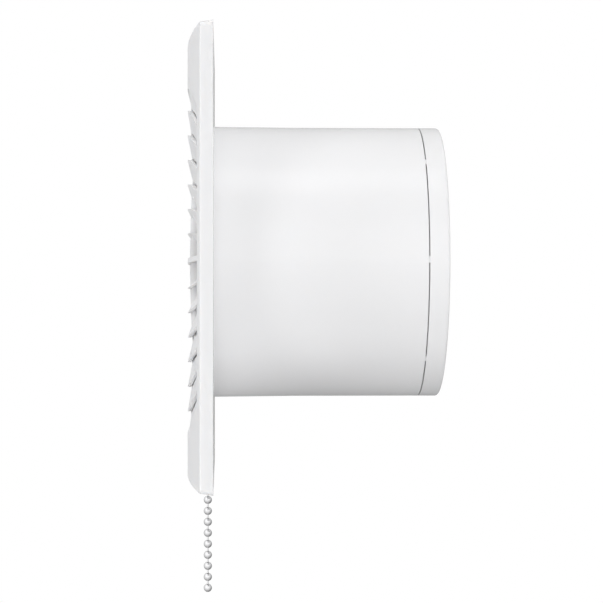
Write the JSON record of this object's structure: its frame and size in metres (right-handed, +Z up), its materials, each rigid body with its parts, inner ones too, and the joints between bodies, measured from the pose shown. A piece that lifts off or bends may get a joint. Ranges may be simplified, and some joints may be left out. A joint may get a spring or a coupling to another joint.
{
  "type": "extractor fan",
  "caption": "Wall-mounted axial extractor fan with a square domed louvre panel, a round duct spigot with a backdraught valve ring, and a ball-chain pull switch.",
  "frame": {"origin": "On the duct axis in the wall plane, which is the back of the base plate and the centre of the wall-screw pattern.", "axes": "+Y runs along the duct into the wall, +Z is up, +X is right seen from the room. The louvre panel is at negative Y."},
  "size_m": [0.1586, 0.0921, 0.2072],
  "materials": {
    "panel_abs": "white moulded ABS with a soft gloss",
    "body_abs": "white moulded ABS with a soft gloss",
    "flap_film": "thin white moulded polypropylene",
    "impeller_abs": "light grey moulded ABS",
    "cradle_abs": "white moulded ABS",
    "spring_steel": "bright drawn steel wire",
    "zinc_steel": "zinc plated steel",
    "lamination_steel": "oiled electrical steel",
    "bronze": "sintered bronze",
    "copper_wire": "enamelled copper wire",
    "contact_brass": "stamped brass",
    "switch_nylon": "natural nylon",
    "terminal_nylon": "natural nylon",
    "chain_nickel": "nickel plated steel",
    "grommet_rubber": "black rubber",
    "washer_fibre": "pressed fibre",
    "lead_brown": "brown PVC insulation",
    "lead_blue": "blue PVC insulation"
  },
  "bodies": {
    "housing": {"front_panel": "panel_abs", "base_plate": "body_abs", "duct_spigot": "body_abs", "valve_ring": "body_abs", "flap_hinge_pin": "spring_steel", "flap_spring": "spring_steel", "motor_cradle": "cradle_abs", "motor_end_cap": "cradle_abs", "end_cap_screws": "zinc_steel", "front_bush": "bronze", "rear_bush": "bronze", "stator_stack": "lamination_steel", "stator_windings": "copper_wire", "thrust_washer": "washer_fibre", "switch_housing": "switch_nylon", "switch_cover": "switch_nylon", "fixed_contacts": "contact_brass", "switch_spring": "spring_steel", "terminal_block": "terminal_nylon", "terminal_clamps": "contact_brass", "terminal_screws": "zinc_steel", "cable_grommet": "grommet_rubber", "motor_lead_live": "lead_brown", "motor_lead_neutral": "lead_blue", "switch_leads": "lead_brown"},
    "fan_rotor": {"impeller": "impeller_abs", "motor_shaft": "spring_steel", "rotor": "lamination_steel", "shaft_clip": "spring_steel"},
    "flap_left": {"valve_flap_left": "flap_film"},
    "flap_right": {"valve_flap_right": "flap_film"},
    "pull": {"pull_bar": "switch_nylon", "bridge_contact": "contact_brass", "chain_anchor": "chain_nickel"},
    "chain": {"chain_beads": "chain_nickel", "chain_links": "chain_nickel"}
  },
  "joints": [
    {"name": "impeller_spin", "type": "hinge", "parent": "housing", "child": "fan_rotor", "pos_m": [0, 0.03, 0], "axis": [0, 1, 0], "continuous": true},
    {"name": "flap_left_swing", "type": "hinge", "parent": "housing", "child": "flap_left", "pos_m": [0, 0.0745, 0], "axis": [0, 0, -1], "range_deg": [0, 75], "stiffness_Nm_per_rad": 0.002, "springref_deg": -17.19, "deforming": ["flap_spring"]},
    {"name": "flap_right_swing", "type": "hinge", "parent": "housing", "child": "flap_right", "pos_m": [0, 0.0745, 0], "axis": [0, 0, 1], "range_deg": [0, 75], "stiffness_Nm_per_rad": 0.002, "springref_deg": -17.19},
    {"name": "pull_slide", "type": "slide", "parent": "housing", "child": "pull", "axis": [0, 0, -1], "range_m": [0, 0.004], "stiffness_N_per_m": 400, "springref_m": -0.003, "deforming": ["switch_spring"]},
    {"name": "chain_swing", "type": "hinge", "parent": "pull", "child": "chain", "pos_m": [-0.044, -0.0026, -0.07984], "axis": [0, 1, 0], "range_deg": [-12, 12]}
  ]
}
